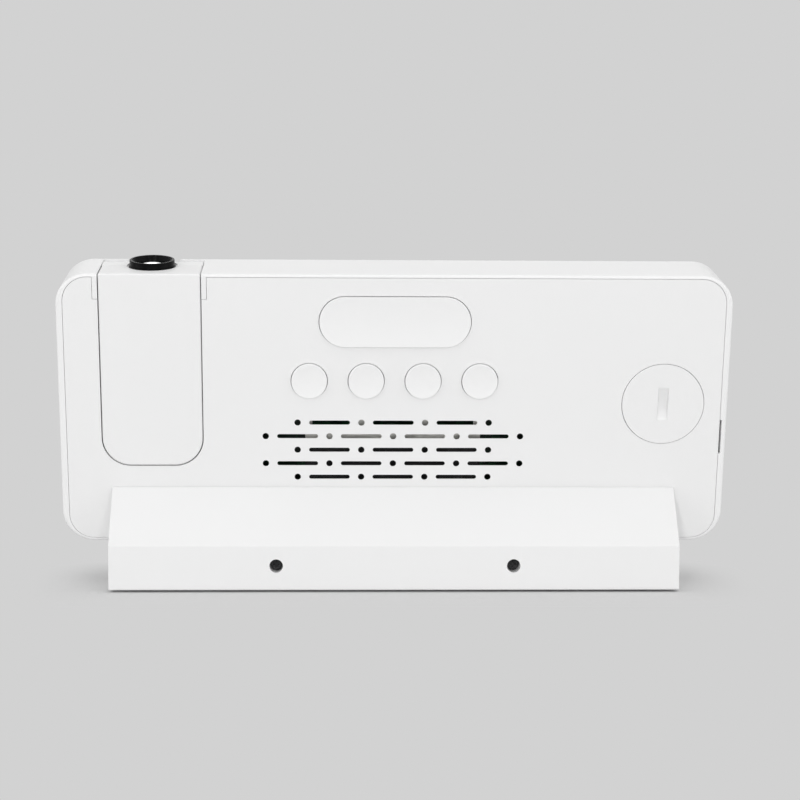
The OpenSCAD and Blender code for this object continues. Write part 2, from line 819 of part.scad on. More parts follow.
// Two leads from the speaker's frame round to the board.
module speaker_leads() {
  x0 = speaker_x + speaker_w / 2 - 1.6;
  y0 = speaker_y - frame_t;
  color("firebrick") in_body() for (z = [speaker_low + 2, speaker_low + 4.5])
    wire([[x0, y0, z], [x0, y0 - 2.4, z], [x0 + 5, y0 - 2.4, z], [x0 + 5, board_rear, z]], speaker_lead_d);
}

// Lead from the arm's hinge pin down past the digit block and round the board's edge to its rear.
module hinge_lead() {
  x0 = arm_x - lead_end_x - run;
  x1 = board_right + lead_clear;
  x2 = board_right - lead_d;
  y1 = board_rear + lead_clear;
  z1 = display_z + reflector_h / 2 + lead_d;
  color("#303030") in_body()
    wire([[x0, hinge_y, hinge_z], [x1, hinge_y, hinge_z], [x1, hinge_y, z1], [x1, y1, z1], [x2, y1, z1],
          [x2, board_rear, z1]], lead_d);
}

// Long button with a shallow dish and two stems down to its switches.
module snooze_button() {
  color("whitesmoke") in_body() translate([snooze_screen_x, 0, snooze_z]) {
    difference() {
      union() {
        pill(snooze_w, snooze_h, -cover_t - skirt, button_proud);
        pill(snooze_w + button_lip, snooze_h + button_lip, -cover_t - run - lip_thick, -cover_t - run);
      }
      translate([0, button_proud - dish + snooze_dish_r, 0]) rotate([0, 90, 0])
        cylinder(h = snooze_w + 2, r = snooze_dish_r, center = true, $fn = 180);
    }
    for (s = [-1, 1]) translate([s * snooze_switch_x, 0, 0])
      post(stem_d, switch_y + snooze_travel + run, -cover_t - skirt + eps);
  }
}

// Round button with a dished face and a stem down to its switch.
module round_button(i) {
  color("whitesmoke") in_body() translate([button_x0 - i * button_pitch, 0, button_z]) {
    difference() {
      union() {
        post(button_d, -cover_t - skirt, button_proud);
        post(button_d + button_lip, -cover_t - run - lip_thick, -cover_t - run);
      }
      translate([0, button_proud - dish + button_dish_r, 0]) sphere(r = button_dish_r, $fn = 180);
    }
    post(stem_d, switch_y + button_travel + run, -cover_t - skirt + eps);
  }
}

module rear_button_1() round_button(0);
module rear_button_2() round_button(1);
module rear_button_3() round_button(2);
module rear_button_4() round_button(3);

// Front half of the arm: its top edge is rounded about the hinge axis, and it carries the pins.
module arm_front_shell() {
  color("gainsboro") in_body() difference() {
    union() {
      difference() {
        arm_front_block();
        arm_hollow(-arm_d + arm_wall, lens_y + 1);
        barrel_cut();
      }
      arm_screw_places() post(post_d, -arm_d + arm_wall - eps, lens_y);
      barrel_guides();
      hinge_pins();
    }
    arm_screw_places() post(screw_head_d + 2 * fit, -arm_d - 1, -arm_d + screw_head_t + 2 * fit);
    arm_screw_places() post(screw_d + screw_play, -arm_d - 1, lens_y + 1);
    lead_bore();
  }
}

module arm_front_block() {
  hull() {
    for (s = [-1, 1]) translate([arm_x + s * (arm_w / 2 - arm_r), 0, arm_bottom + arm_r])
      post(2 * arm_r, -arm_d, lens_y);
    translate([arm_x, hinge_y, hinge_z]) rotate([0, 90, 0])
      cylinder(h = arm_w, r = hinge_inset, center = true);
    block(arm_x - arm_w / 2, arm_x + arm_w / 2, lens_y - 1, lens_y, body_h - 1, body_h);
  }
}

// Two ribs that hold the barrel's box between them.
module barrel_guides() {
  for (s = [-1, 1]) translate([arm_x + s * (barrel_box_w / 2 + fit + guide_t / 2), 0, 0])
    block(-guide_t / 2, guide_t / 2, -arm_d + arm_wall - eps, lens_y - 1.2,
          barrel_box_z + 1, barrel_tube_z - 2);
}

// Pins on the arm's sides that turn in the ears.
module hinge_pins() {
  for (s = [-1, 1]) translate([arm_x, hinge_y, hinge_z]) rotate([0, 90 * s, 0])
    translate([0, 0, arm_w / 2 - arm_wall]) cylinder(h = arm_wall + arm_gap + ear_t - 0.2, d = hinge_pin_d);
}

// Way for the lead: up from the arm's hollow to the hinge axis, and out through the pin.
module lead_bore() {
  translate([arm_x - lead_x, hinge_y, hinge_z]) {
    sphere(d = lead_bore_d);
    mirror([0, 0, 1]) cylinder(h = 2 * hinge_inset, d = lead_bore_d);
    rotate([0, -90, 0]) cylinder(h = arm_w, d = lead_bore_d);
  }
}

// Inside of the arm between two depths.
module arm_hollow(y0, y1) {
  w = arm_w - 2 * arm_wall;
  low = arm_bottom + arm_wall;
  r = arm_r - arm_wall;
  translate([arm_x, y1, 0]) rotate([90, 0, 0]) linear_extrude(y1 - y0) {
    translate([-w / 2, low + r]) square([w, body_h - 2 * hinge_inset - low - r]);
    translate([-w / 2 + r, low]) square([w - 2 * r, r + 1]);
    for (s = [-1, 1]) translate([s * (w / 2 - r), low + r]) circle(r);
  }
}

// Round way through the arm's top for the lens barrel, with the flange's seat.
module barrel_cut() {
  translate([arm_x, lens_y, 0]) {
    translate([0, 0, barrel_tube_z]) cylinder(h = barrel_l, d = barrel_d + 2 * fit);
    translate([0, 0, seat_z]) cylinder(h = 2 * seat_depth + 1, d = flange_d + 0.5);
  }
}

module arm_screw_places() {
  for (s = [-1, 1]) translate([arm_x + s * arm_screw_x, 0, arm_bottom + arm_screw_up]) children();
}

// Rear half of the arm, whose face lies level with the rear cover.
module arm_rear_shell() {
  color("whitesmoke") in_body() {
    difference() {
      hull() {
        for (s = [-1, 1]) translate([arm_x + s * (arm_w / 2 - arm_r), 0, arm_bottom + arm_r])
          rotate([90, 0, 0]) corner_post_open(arm_r, -lens_y, 0.5);
        for (s = [-1, 1]) translate([arm_x + s * (arm_w / 2 - 0.6), 0, body_h - 0.6])
          rotate([90, 0, 0]) corner_post_open(0.6, -lens_y, 0.5);
      }
      arm_hollow(lens_y - 1, -arm_wall);
      barrel_cut();
    }
    arm_screw_places() difference() {
      post(post_d, lens_y, -arm_wall + eps);
      post(screw_d - 0.2, lens_y - 1, -arm_wall);
    }
  }
}

// Post rounded over at its near end only.
module corner_post_open(r, l, e) {
  rotate_extrude($fn = 64) polygon(concat(
    [[0, 0]],
    [for (a = [0 : 30 : 90]) [r - e + e * sin(a), e - e * cos(a)]],
    [[r, l], [0, l]]));
}

module arm_screws() {
  color("dimgray") in_body() arm_screw_places() 
    translate([0, -arm_d + fit, 0]) mirror([0, 1, 0]) screw(arm_screw_l);
}

// Barrel that carries the optics in line and guides the focus ring's sleeve.
module optics_barrel() {
  color("#202020") in_body() translate([arm_x, lens_y, 0]) difference() {
    union() {
      translate([0, 0, barrel_tube_z - eps]) cylinder(h = barrel_top - barrel_tube_z + eps, d = barrel_d);
      translate([-barrel_box_w / 2, -barrel_box_t / 2, barrel_box_z])
        cube([barrel_box_w, barrel_box_t, barrel_tube_z - barrel_box_z]);
    }
    translate([0, 0, barrel_tube_z]) cylinder(h = barrel_l, d = sleeve_d + 2 * run);
    translate([0, 0, barrel_box_z - 1]) cylinder(h = barrel_l, d = light_bore_d);
    translate([0, 0, barrel_box_z - 1]) cylinder(h = condenser_z + 1, d = condenser_d + 2 * run);
    translate([-lcd_w / 2 - run, -lcd_h / 2 - run, lcd_z - run])
      cube([lcd_w + 2 * run, lcd_h + 2 * run, lcd_t + 2 * run]);
  }
}

module condenser_lens() {
  color("lightcyan") in_body() translate([arm_x, lens_y, barrel_box_z + condenser_z]) mirror([0, 0, 1])
    bull_lens(condenser_d, condenser_t, 7);
}

// Lens with one flat and one domed face.
module bull_lens(d, t, r) {
  intersection() {
    cylinder(h = t, d = d);
    translate([0, 0, t - r]) sphere(r = r, $fn = 96);
  }
}

module projection_lcd() {
  color("steelblue") in_body() translate([arm_x - lcd_w / 2, lens_y - lcd_h / 2, lcd_z])
    cube([lcd_w, lcd_h, lcd_t]);
}

module projector_board() {
  color("seagreen") in_body()
    translate([arm_x - led_board_w / 2, lens_y - barrel_box_t / 2, barrel_box_z - led_board_t])
    cube([led_board_w, barrel_box_t, led_board_t]);
}

// Lead from the LED's board up beside the barrel and out through the hinge pin.
module projector_lead() {
  z0 = barrel_box_z - led_board_t;
  x0 = arm_x - led_board_w / 2 + 2;
  x1 = arm_x - lead_x;
  color("#303030") in_body()
    wire([[x0, hinge_y, z0], [x0, hinge_y, z0 - 2], [x1, hinge_y, z0 - 2], [x1, hinge_y, hinge_z],
          [arm_x - lead_end_x, hinge_y, hinge_z]], lead_d);
}

module projector_led() {
  color("gold") in_body() translate([arm_x, lens_y, barrel_box_z]) bull_lens(led_d, led_t, 2.4);
}

// Focus ring: stepped black ring with a dished mouth, on a sleeve that turns in the barrel.
module focus_ring() {
  color("#151515") in_body() translate([arm_x, lens_y, seat_z + run]) rotate_extrude() polygon([
    [sleeve_bore_d / 2, seat_depth + 0.3],
    [ring_d / 2 - 0.7, seat_depth + ring_h - run],
    [ring_d / 2 - 0.25, seat_depth + ring_h - run],
    [ring_d / 2, seat_depth + ring_h - run - 0.25],
    [ring_d / 2, seat_depth + flange_t],
    [flange_d / 2, seat_depth + flange_t],
    [flange_d / 2, 0],
    [sleeve_d / 2, 0],
    [sleeve_d / 2, -sleeve_l],
    [sleeve_bore_d / 2 - lens_seat, -sleeve_l],
    [sleeve_bore_d / 2 - lens_seat, lens_rise - lens_t],
    [sleeve_bore_d / 2, lens_rise - lens_t]]);
}

module projection_lens() {
  color("lightcyan") in_body() translate([arm_x, lens_y, seat_z + run + lens_rise - lens_t])
    bull_lens(sleeve_bore_d, lens_t, lens_r);
}

// The foot's side profile under and behind the leaning body, in y and z.
module foot_profile() {
  polygon([
    [foot_back, pad_h],
    [foot_back, foot_rear_h],
    [foot_up * sin(lean) + foot_cut, stand_h + foot_up * cos(lean)],
    [foot_cut, stand_h - foot_cut],
    [-foot_front, stand_h - foot_cut + (foot_front + foot_cut) * tan(lean)],
    [-foot_front, pad_h]]);
}

// The profile with its corners broken.
module foot_outline() {
  offset(r = foot_edge, $fn = 16) offset(delta = -foot_edge) foot_profile();
}

module foot_bar(w) {
  translate([-w / 2, 0, 0]) rotate([90, 0, 90]) linear_extrude(w) children();
}

module foot_shell() {
  color("whitesmoke") in_foot() difference() {
    union() {
      difference() {
        foot_bar(foot_w) foot_outline();
        foot_bar(foot_w - 2 * foot_wall) foot_hollow();
        foot_clips(fit);
      }
      foot_screw_places() post(counterbore_d + 2.6, lug_back + fit, foot_back - 1);
    }
    foot_screw_places() post(counterbore_d, foot_back - counterbore_l, foot_back + 1);
    foot_screw_places() post(screw_d + screw_play, lug_back - 1, foot_back);
    for (s = [-1, 1]) translate([s * foot_screw_pitch / 2, 0, 0])
      block(-lug_w / 2 - fit, lug_w / 2 + fit, lug_front - fit, lug_back + fit, lug_low - fit, stand_h + 10);
  }
}

// Hollow of the foot, open below for the base plate.
module foot_hollow() {
  t = foot_wall;
  polygon([
    [foot_back - t, pad_h - 1],
    [foot_back - t, foot_rear_h - t * 0.45],
    [foot_up * sin(lean) + t * 0.9, stand_h + foot_up * cos(lean) - t * 1.9],
    [t, stand_h - t],
    [-foot_front + t, stand_h - t + (foot_front - t) * tan(lean)],
    [-foot_front + t, pad_h - 1]]);
}

module foot_screw_places() {
  for (s = [-1, 1]) translate([s * foot_screw_pitch / 2, 0, foot_screw_z]) children();
}

module foot_base() {
  color("gray") in_foot() difference() {
    block(-foot_w / 2 + foot_wall + fit, foot_w / 2 - foot_wall - fit,
          -foot_front + foot_wall + fit, foot_back - foot_wall - fit, pad_h, pad_h + base_t);
    pad_places() pad(-1, pad_t, run);
  }
  color("gray") in_foot() foot_clips(0);
}

// Clips on the base plate, or with a gap g the pockets in the shell that they snap into.
module foot_clips(g) {
  z = pad_h + base_t - eps;
  nose_z = z + clip_h - 2 * clip_nose;
  for (x = clip_x, s = [0, 1]) translate([x, (foot_back - foot_front) / 2, 0]) mirror([0, s, 0]) {
    y = (foot_back + foot_front) / 2 - foot_wall - fit;
    if (g == 0) block(-clip_w / 2, clip_w / 2, y - 1, y, z, z + clip_h);
    block(-clip_w / 2 - g, clip_w / 2 + g, y - eps, y + fit + clip_nose + g,
          nose_z - g, nose_z + 2 * clip_nose + g);
  }
}

module pad_places() {
  for (x = [-1, 1], y = [-foot_front + foot_wall + 4, foot_back - foot_wall - 4])
    translate([x * (foot_w / 2 - 14), y, 0]) children();
}

module pad(z0, z1, g) {
  translate([0, 0, z0]) linear_extrude(z1 - z0) {
    square([pad_w - pad_l, pad_l + 2 * g], center = true);
    for (s = [-1, 1]) translate([s * (pad_w - pad_l) / 2, 0]) circle(pad_l / 2 + g);
  }
}

module foot_pads() {
  color("#303030") in_foot() pad_places() pad(0, pad_t, 0);
}

module foot_screws() {
  color("gray") in_foot() foot_screw_places()
    translate([0, foot_back - counterbore_l + screw_head_t, 0]) screw(foot_screw_l);
}

front_housing();
display_window();
rear_cover();
case_screws();
main_board();
board_screws();
digit_reflector();
digit_segments();
tact_switches();
digit_leds();
control_chip();
crystal();
power_capacitor();
charging_port();
port_tongue();
speaker_frame();
speaker_cone();
speaker_magnet();
speaker_leads();
hinge_lead();
coin_cell();
battery_contact_minus();
battery_contact_plus();
battery_cover();
snooze_button();
rear_button_1();
rear_button_2();
rear_button_3();
rear_button_4();
arm_front_shell();
arm_rear_shell();
arm_screws();
optics_barrel();
condenser_lens();
projection_lcd();
projector_board();
projector_led();
projector_lead();
focus_ring();
projection_lens();
foot_shell();
foot_base();
foot_pads();
foot_screws();
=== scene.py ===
import json
import math

import bpy
from mathutils import Matrix, Vector

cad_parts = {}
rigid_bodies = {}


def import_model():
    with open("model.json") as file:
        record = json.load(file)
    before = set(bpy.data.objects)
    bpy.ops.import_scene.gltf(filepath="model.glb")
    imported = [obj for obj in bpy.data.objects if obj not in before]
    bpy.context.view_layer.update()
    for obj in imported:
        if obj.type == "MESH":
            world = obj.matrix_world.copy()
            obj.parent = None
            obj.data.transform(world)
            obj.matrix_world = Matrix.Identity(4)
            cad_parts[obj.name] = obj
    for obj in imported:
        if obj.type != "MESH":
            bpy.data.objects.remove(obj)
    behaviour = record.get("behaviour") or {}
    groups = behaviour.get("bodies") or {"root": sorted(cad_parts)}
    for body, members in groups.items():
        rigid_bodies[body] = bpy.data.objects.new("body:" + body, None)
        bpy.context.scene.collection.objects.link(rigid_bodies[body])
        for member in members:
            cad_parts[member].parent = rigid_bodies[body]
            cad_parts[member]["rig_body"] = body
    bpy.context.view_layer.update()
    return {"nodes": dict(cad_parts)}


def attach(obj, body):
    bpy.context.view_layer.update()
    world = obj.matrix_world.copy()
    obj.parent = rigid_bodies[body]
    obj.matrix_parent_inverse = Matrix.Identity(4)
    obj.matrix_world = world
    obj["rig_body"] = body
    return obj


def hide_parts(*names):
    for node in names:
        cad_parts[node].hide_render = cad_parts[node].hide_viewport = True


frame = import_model()

# Camera: the photograph's viewpoint, about 57 cm behind the clock and 9 cm above the table, looking
# slightly down through a long lens.
viewpoint = bpy.data.cameras.new("photo_viewpoint")
viewpoint.lens = 88.51
viewpoint.sensor_width = 36
viewpoint.clip_start = 0.01
camera = bpy.data.objects.new("photo_viewpoint", viewpoint)
camera.location = (0.017648, 0.56697, 0.093768)
camera.rotation_euler = [math.radians(angle) for angle in (85.90331, -0.25717, 178.05890)]
bpy.context.scene.collection.objects.link(camera)
bpy.context.scene.camera = camera

# Front housing: one ABS moulding with the front wall, the ends, the rim and the two hinge ears. Its
# mould is polished, so it is a smooth satin white, a little glossier than the rear cover.


def linear(code):
    """sRGB hex colour as linear RGBA."""
    parts = [int(code[i:i + 2], 16) / 255 for i in (1, 3, 5)]
    return [c / 12.92 if c <= 0.04045 else ((c + 0.055) / 1.055) ** 2.4 for c in parts] + [1.0]


def shade(tree, kind, inputs=None, **settings):
    """Adds one shader node, sets it up, and sets or links its inputs."""
    added = tree.nodes.new("ShaderNode" + kind)
    for name, value in settings.items():
        setattr(added, name, value)
    for name, value in (inputs or {}).items():
        if isinstance(value, bpy.types.NodeSocket):
            tree.links.new(value, added.inputs[name])
        else:
            added.inputs[name].default_value = value
    return added


def surface(name):
    """A new material, its nodes and its main shader."""
    material = bpy.data.materials.new(name)
    material.use_nodes = True
    return material, material.node_tree, material.node_tree.nodes["Principled BSDF"]


def grained(name, colour, shadow, roughness, grain_mm, depth_mm):
    """Moulded plastic, rubber, felt or paper: one colour, faintly clouded, with a fine grain."""
    material, tree, moulded = surface(name)
    moulded.inputs["IOR"].default_value = 1.53
    cloud_mm = 45
    sheen_change = 0.05
    place = shade(tree, "TexCoord").outputs["Object"]
    mottle = shade(tree, "TexNoise", {
        "Vector": place, "Scale": 1000 / cloud_mm, "Detail": 2.0, "Roughness": 0.4})
    tint = shade(tree, "Mix", {
        0: mottle.outputs[0], 6: linear(shadow), 7: linear(colour)}, data_type="RGBA")
    grain = shade(tree, "TexNoise", {
        "Vector": place, "Scale": 1000 / grain_mm, "Detail": 2.5, "Roughness": 0.55})
    sheen = shade(tree, "MapRange", {
        0: grain.outputs[0], 3: roughness - sheen_change, 4: roughness + sheen_change})
    relief = shade(tree, "Bump", {
        "Height": grain.outputs[0], "Strength": 0.5, "Distance": depth_mm / 1000})
    tree.links.new(tint.outputs[2], moulded.inputs["Base Color"])
    tree.links.new(sheen.outputs[0], moulded.inputs["Roughness"])
    tree.links.new(relief.outputs[0], moulded.inputs["Normal"])
    return material


def merged(name):
    """A copy of a CAD node with its doubles merged and its flat faces joined."""
    source = frame["nodes"][name]
    piece = bpy.data.objects.new(name + "_moulding", source.data.copy())
    bpy.context.scene.collection.objects.link(piece)
    bpy.ops.object.select_all(action="DESELECT")
    piece.select_set(True)
    bpy.context.view_layer.objects.active = piece
    bpy.ops.object.mode_set(mode="EDIT")
    bpy.ops.mesh.select_all(action="SELECT")
    bpy.ops.mesh.remove_doubles(threshold=1e-6)
    bpy.ops.mesh.dissolve_limited(angle_limit=math.radians(0.5))
    bpy.ops.object.mode_set(mode="OBJECT")
    return piece


def finish_moulding(piece, name, material, edge_mm, segments=3):
    """Breaks a merged piece's edges as a mould leaves them, and lets it stand for its CAD node."""
    if edge_mm:
        edge = piece.modifiers.new("edge", "BEVEL")
        edge.width = edge_mm / 1000
        edge.segments = segments
        edge.limit_method = "ANGLE"
        edge.angle_limit = math.radians(35)
        edge.miter_outer = "MITER_ARC"
        bpy.ops.object.modifier_apply(modifier="edge")
    bpy.ops.object.shade_smooth_by_angle(angle=math.radians(32))
    flats = piece.modifiers.new("flats", "WEIGHTED_NORMAL")
    flats.keep_sharp = True
    bpy.ops.object.modifier_apply(modifier="flats")
    piece.data.materials.clear()
    piece.data.materials.append(material)
    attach(piece, frame["nodes"][name]["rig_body"])
    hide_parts(name)
    return piece


def moulding(name, material, edge_mm, segments=3):
    """A CAD node merged, with its edges broken and its finish on."""
    return finish_moulding(merged(name), name, material, edge_mm, segments)


housing_white = grained("white_abs_polished_mould", "#EFEFEF", "#ECECEC", 0.34, 0.5, 0.004)
housing = moulding("front_housing", housing_white, 0.08, 2)

# Display window: a 1 mm sheet of smoked acrylic, laser cut and polished, bonded into the recess of
# the front wall with black adhesive film. It looks black until the digits behind it light up.
# The body leans back 12 degrees: lean sets a piece made upright onto it, and flat takes it back.
lean = Matrix.Translation((0, 0.001855, 0.0125)) @ Matrix.Rotation(math.radians(-12), 4, "X")
flat = lean.inverted()
leaning_up = lean.to_3x3() @ Vector((0, 0, 1))


def clear_acrylic(name, tint, haze_mm, detail, smooth, rough):
    """Polished acrylic, clear all through, with the slight uneven haze that polishing leaves."""
    material, tree, acrylic = surface(name)
    acrylic.inputs["Base Color"].default_value = linear(tint)
    acrylic.inputs["IOR"].default_value = 1.49
    acrylic.inputs["Transmission Weight"].default_value = 1.0
    place = shade(tree, "TexCoord").outputs["Object"]
    haze = shade(tree, "TexNoise", {"Vector": place, "Scale": 1000 / haze_mm, "Detail": detail})
    polish = shade(tree, "MapRange", {0: haze.outputs[0], 3: smooth, 4: rough})
    tree.links.new(polish.outputs[0], acrylic.inputs["Roughness"])
    return material


smoked = clear_acrylic("smoked_acrylic_polished", "#5A5A5E", 12, 4.0, 0.02, 0.06)
film = grained("black_adhesive_film", "#101012", "#0C0C0E", 0.5, 0.4, 0.004)
window = moulding("display_window", smoked, 0.15, 2)
window_back = -0.0195
film_thickness = 0.00004
hair = 0.00001
for vertex in window.data.vertices:
    at = flat @ vertex.co
    if at.y > window_back - hair:
        vertex.co = lean @ Vector((at.x, window_back - film_thickness, at.z))
housing.data.materials.append(film)
for face in housing.data.polygons:
    if abs((flat @ face.center).y - window_back) < hair:
        face.material_index = 1

# Digit block: a reflector moulded in matt black polystyrene, held between the window and the main
# board. Its flat black face shows no shine, and keeps stray light off the window.
black_matt = grained("black_polystyrene_matt", "#17171A", "#121214", 0.62, 0.4, 0.01)
moulding("digit_reflector", black_matt, 0.1, 1)

# Segments: light guides of clear red resin, cast into the digit block. One that is off is a dull
# dark red. Those that are on glow a little unevenly, and show ten past ten.
digit_places = (-0.062, -0.036, -0.004, 0.022)
digit_middle = 0.0385
bar_rise = 0.0162
upright_bars = 0.007
colon_place = -0.02
colon_half = 0.003
ten = (("right",), ("top", "left", "right", "low"))
shown = ten + ten
unlit = grained("red_resin_unlit", "#4A1A14", "#3E1410", 0.3, 0.5, 0.004)
lit, tree, glow = surface("red_resin_lit")
glow.inputs["Base Color"].default_value = linear("#FF4A2A")
glow.inputs["Roughness"].default_value = 0.3
glow.inputs["Emission Strength"].default_value = 7.0
place = shade(tree, "TexCoord").outputs["Object"]
glow_cloud_mm = 6
spread = shade(tree, "TexNoise", {"Vector": place, "Scale": 1000 / glow_cloud_mm, "Detail": 1.0})
shine = shade(tree, "Mix", {
    0: spread.outputs[0], 6: linear("#FF3214"), 7: linear("#FF4E2A")}, data_type="RGBA")
tree.links.new(shine.outputs[2], glow.inputs["Emission Color"])
guides = moulding("digit_segments", unlit, 0.0)
guides.data.materials.append(lit)
for face in guides.data.polygons:
    at = flat @ face.center
    figure = min(range(4), key=lambda i: abs(at.x - digit_places[i]))
    across = at.x - digit_places[figure]
    rise = (at.z - digit_middle) / bar_rise
    if abs(across) < upright_bars:
        bar = "top" if rise > 0.5 else "low" if rise < -0.5 else "middle"
    else:
        bar = "right" if across > 0 else "left"
    colon = abs(at.x - colon_place) < colon_half
    face.material_index = 1 if colon or bar in shown[figure] else 0

# Main board: 1.6 mm of glass fibre and epoxy, screwed to the front housing. Its green solder mask
# is glossy, and the copper tracks under it show as a faint raised pattern.
board, tree, mask = surface("green_solder_mask_on_glass_fibre")
mask.inputs["IOR"].default_value = 1.55
mask.inputs["Roughness"].default_value = 0.28
track_field_mm = 3.5
track_waves = 9.0
copper_thickness = 0.00004
place = shade(tree, "TexCoord").outputs["Object"]
tracks = shade(tree, "TexVoronoi", {"Vector": place, "Scale": 1000 / track_field_mm},
               feature="F1", distance="CHEBYCHEV")
lines = shade(tree, "Math", {0: tracks.outputs["Distance"], 1: track_waves}, operation="MULTIPLY")
wave = shade(tree, "Math", {0: lines.outputs[0]}, operation="SINE")
copper = shade(tree, "MapRange", {0: wave.outputs[0], 1: 0.1, 2: 0.3, 3: 0.0, 4: 1.0})
green = shade(tree, "Mix", {
    0: copper.outputs[0], 6: linear("#0A2C19"), 7: linear("#144628")}, data_type="RGBA")
raised = shade(tree, "Bump", {
    "Height": copper.outputs[0], "Strength": 0.6, "Distance": copper_thickness})
tree.links.new(green.outputs[2], mask.inputs["Base Color"])
tree.links.new(raised.outputs[0], mask.inputs["Normal"])
moulding("main_board", board, 0.0)

# Screws: steel pan heads with cross recesses, turned into bosses in the mouldings. Their nickel
# plate is a warm grey, scuffed by handling, so its shine is uneven.


def nickel_plate(name, dark, pale, scuff_mm, detail, breakup, smooth, rough):
    """Nickel-plated steel: fine scuffs change its colour and its polish from place to place."""
    material, tree, metal = surface(name)
    metal.inputs["Metallic"].default_value = 1.0
    place = shade(tree, "TexCoord").outputs["Object"]
    scuffs = shade(tree, "TexNoise", {
        "Vector": place, "Scale": 1000 / scuff_mm, "Detail": detail, "Roughness": breakup})
    tone = shade(tree, "Mix", {
        0: scuffs.outputs[0], 6: linear(dark), 7: linear(pale)}, data_type="RGBA")
    wear = shade(tree, "MapRange", {0: scuffs.outputs[0], 3: smooth, 4: rough})
    tree.links.new(tone.outputs[2], metal.inputs["Base Color"])
    tree.links.new(wear.outputs[0], metal.inputs["Roughness"])
    return material


plated = nickel_plate("nickel_plated_steel", "#A9A7A2", "#C9C7C1", 1.2, 5.0, 0.6, 0.22, 0.42)
for name in ("case_screws", "board_screws", "arm_screws"):
    moulding(name, plated, 0.1, 2)

# Board parts: one white LED behind each segment, the clock's chip, its crystal and the capacitor
# that smooths the supply, all soldered to the board. The LEDs are yellow with phosphor, the chip is
# dull black epoxy, the crystal's can is plated, and the capacitor has a glossy black sleeve.
phosphor = grained("yellow_phosphor_resin", "#E8C23A", "#DDB52F", 0.35, 0.3, 0.004)
moulding("digit_leds", phosphor, 0.08, 1)
epoxy = grained("black_epoxy_moulded", "#1F1F21", "#19191A", 0.5, 0.25, 0.006)
moulding("control_chip", epoxy, 0.1, 1)
moulding("crystal", plated, 0.2, 3)
sleeve = grained("black_pvc_sleeve", "#1A1A1D", "#151517", 0.3, 0.6, 0.003)
moulding("power_capacitor", sleeve, 0.35, 3)

# Tact switches: small black ABS bodies soldered to the board, one behind each round button and two
# behind the long one. They are satin, as the mould leaves them.
black_abs = grained("black_abs_satin", "#1B1B1C", "#161617", 0.4, 0.5, 0.006)
moulding("tact_switches", black_abs, 0.1, 2)

# Charging port: a shell drawn from nickel-plated steel and soldered to the board's end, round a
# black moulded tongue. It looks out through the end wall.
moulding("charging_port", plated, 0.1, 2)
moulding("port_tongue", black_abs, 0.06, 1)

# Speaker: a rolled and pressed steel frame behind the grille that carries a coated paper cone and a
# ground ferrite magnet. The frame is coloured near black below a level line, and its bare steel,
# streaked by the rolls, shows only above it, behind the grille's upper rows.
rolled = plated.copy()
rolled.name = "nickel_plated_rolled_steel"
tree = rolled.node_tree
metal = tree.nodes["Principled BSDF"]
tree.nodes.remove(metal.inputs["Base Color"].links[0].from_node)
place = shade(tree, "TexCoord").outputs["Object"]
stretched = shade(tree, "Mapping", {"Vector": place, "Scale": (1.0, 1.0, 4.0)})
streak_mm = 4
streaks = shade(tree, "TexNoise", {
    "Vector": stretched.outputs[0], "Scale": 1000 / streak_mm, "Detail": 3.0})
tone = shade(tree, "Mix", {
    0: streaks.outputs[0], 6: linear("#6E6D6A"), 7: linear("#F2F1EC")}, data_type="RGBA")
tree.links.new(tone.outputs[2], metal.inputs["Base Color"])
frame_black_below_line = grained("speaker_frame_black_below_line", "#101011", "#0B0B0C", 0.9, 0.6, 0.05)
black_line_height = 0.0296
holder = merged("speaker_frame")
bpy.ops.object.mode_set(mode="EDIT")
bpy.ops.mesh.select_all(action="SELECT")
bpy.ops.mesh.bisect(plane_co=lean @ Vector((0, 0, black_line_height)), plane_no=leaning_up)
bpy.ops.object.mode_set(mode="OBJECT")
finish_moulding(holder, "speaker_frame", rolled, 0.0)
# Below the level line the frame's faces take a flat near-black colour.
holder.data.materials.append(frame_black_below_line)
for face in holder.data.polygons:
    if (flat @ face.center).z < black_line_height:
        face.material_index = 1

# The cone is a racetrack of black paper, pressed into a rolled edge and a dished middle.
paper = grained("black_coated_paper", "#161617", "#0F0F10", 0.85, 0.7, 0.05)
cone_place = Matrix.Translation((0.0005, -0.0026, 0.02125))
cone_end_r = 0.0083
cone_straight = 0.0137
cone_steps = ((0.0008, 0.0), (0.0005, 0.0004), (0.0007, 0.0002), (0.0007, -0.0002),
              (0.0005, -0.0004), (0.0006, -0.0001), (0.0012, -0.0009), (0.0012, -0.0006))
bpy.ops.object.select_all(action="DESELECT")
bpy.ops.mesh.primitive_circle_add(vertices=64, radius=cone_end_r, fill_type="NGON")
cone = bpy.context.active_object
cone.name = "speaker_cone_paper"
bpy.ops.object.mode_set(mode="EDIT")
for side in (-1, 1):
    bpy.ops.mesh.select_all(action="DESELECT")
    bpy.ops.object.mode_set(mode="OBJECT")
    for corner in cone.data.vertices:
        corner.select = corner.co.x * side > hair
    bpy.ops.object.mode_set(mode="EDIT")
    bpy.ops.transform.translate(value=(side * cone_straight, 0, 0))
bpy.ops.mesh.select_all(action="SELECT")
for width, rise in cone_steps:
    bpy.ops.mesh.inset(thickness=width, depth=rise, use_even_offset=True)
bpy.ops.object.mode_set(mode="OBJECT")
wall = cone.modifiers.new("paper", "SOLIDIFY")
wall.thickness = 0.0003
bpy.ops.object.modifier_apply(modifier="paper")


def settle(piece, place, material, body, node):
    """Sets a piece made upright on the leaning clock, and lets it stand for its CAD node."""
    bpy.ops.object.select_all(action="DESELECT")
    piece.select_set(True)
    bpy.context.view_layer.objects.active = piece
    piece.matrix_world = lean @ place
    bpy.ops.object.transform_apply(location=True, rotation=True, scale=True)
    bpy.ops.object.shade_smooth_by_angle(angle=math.radians(40))
    piece.data.materials.append(material)
    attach(piece, body)
    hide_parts(node)


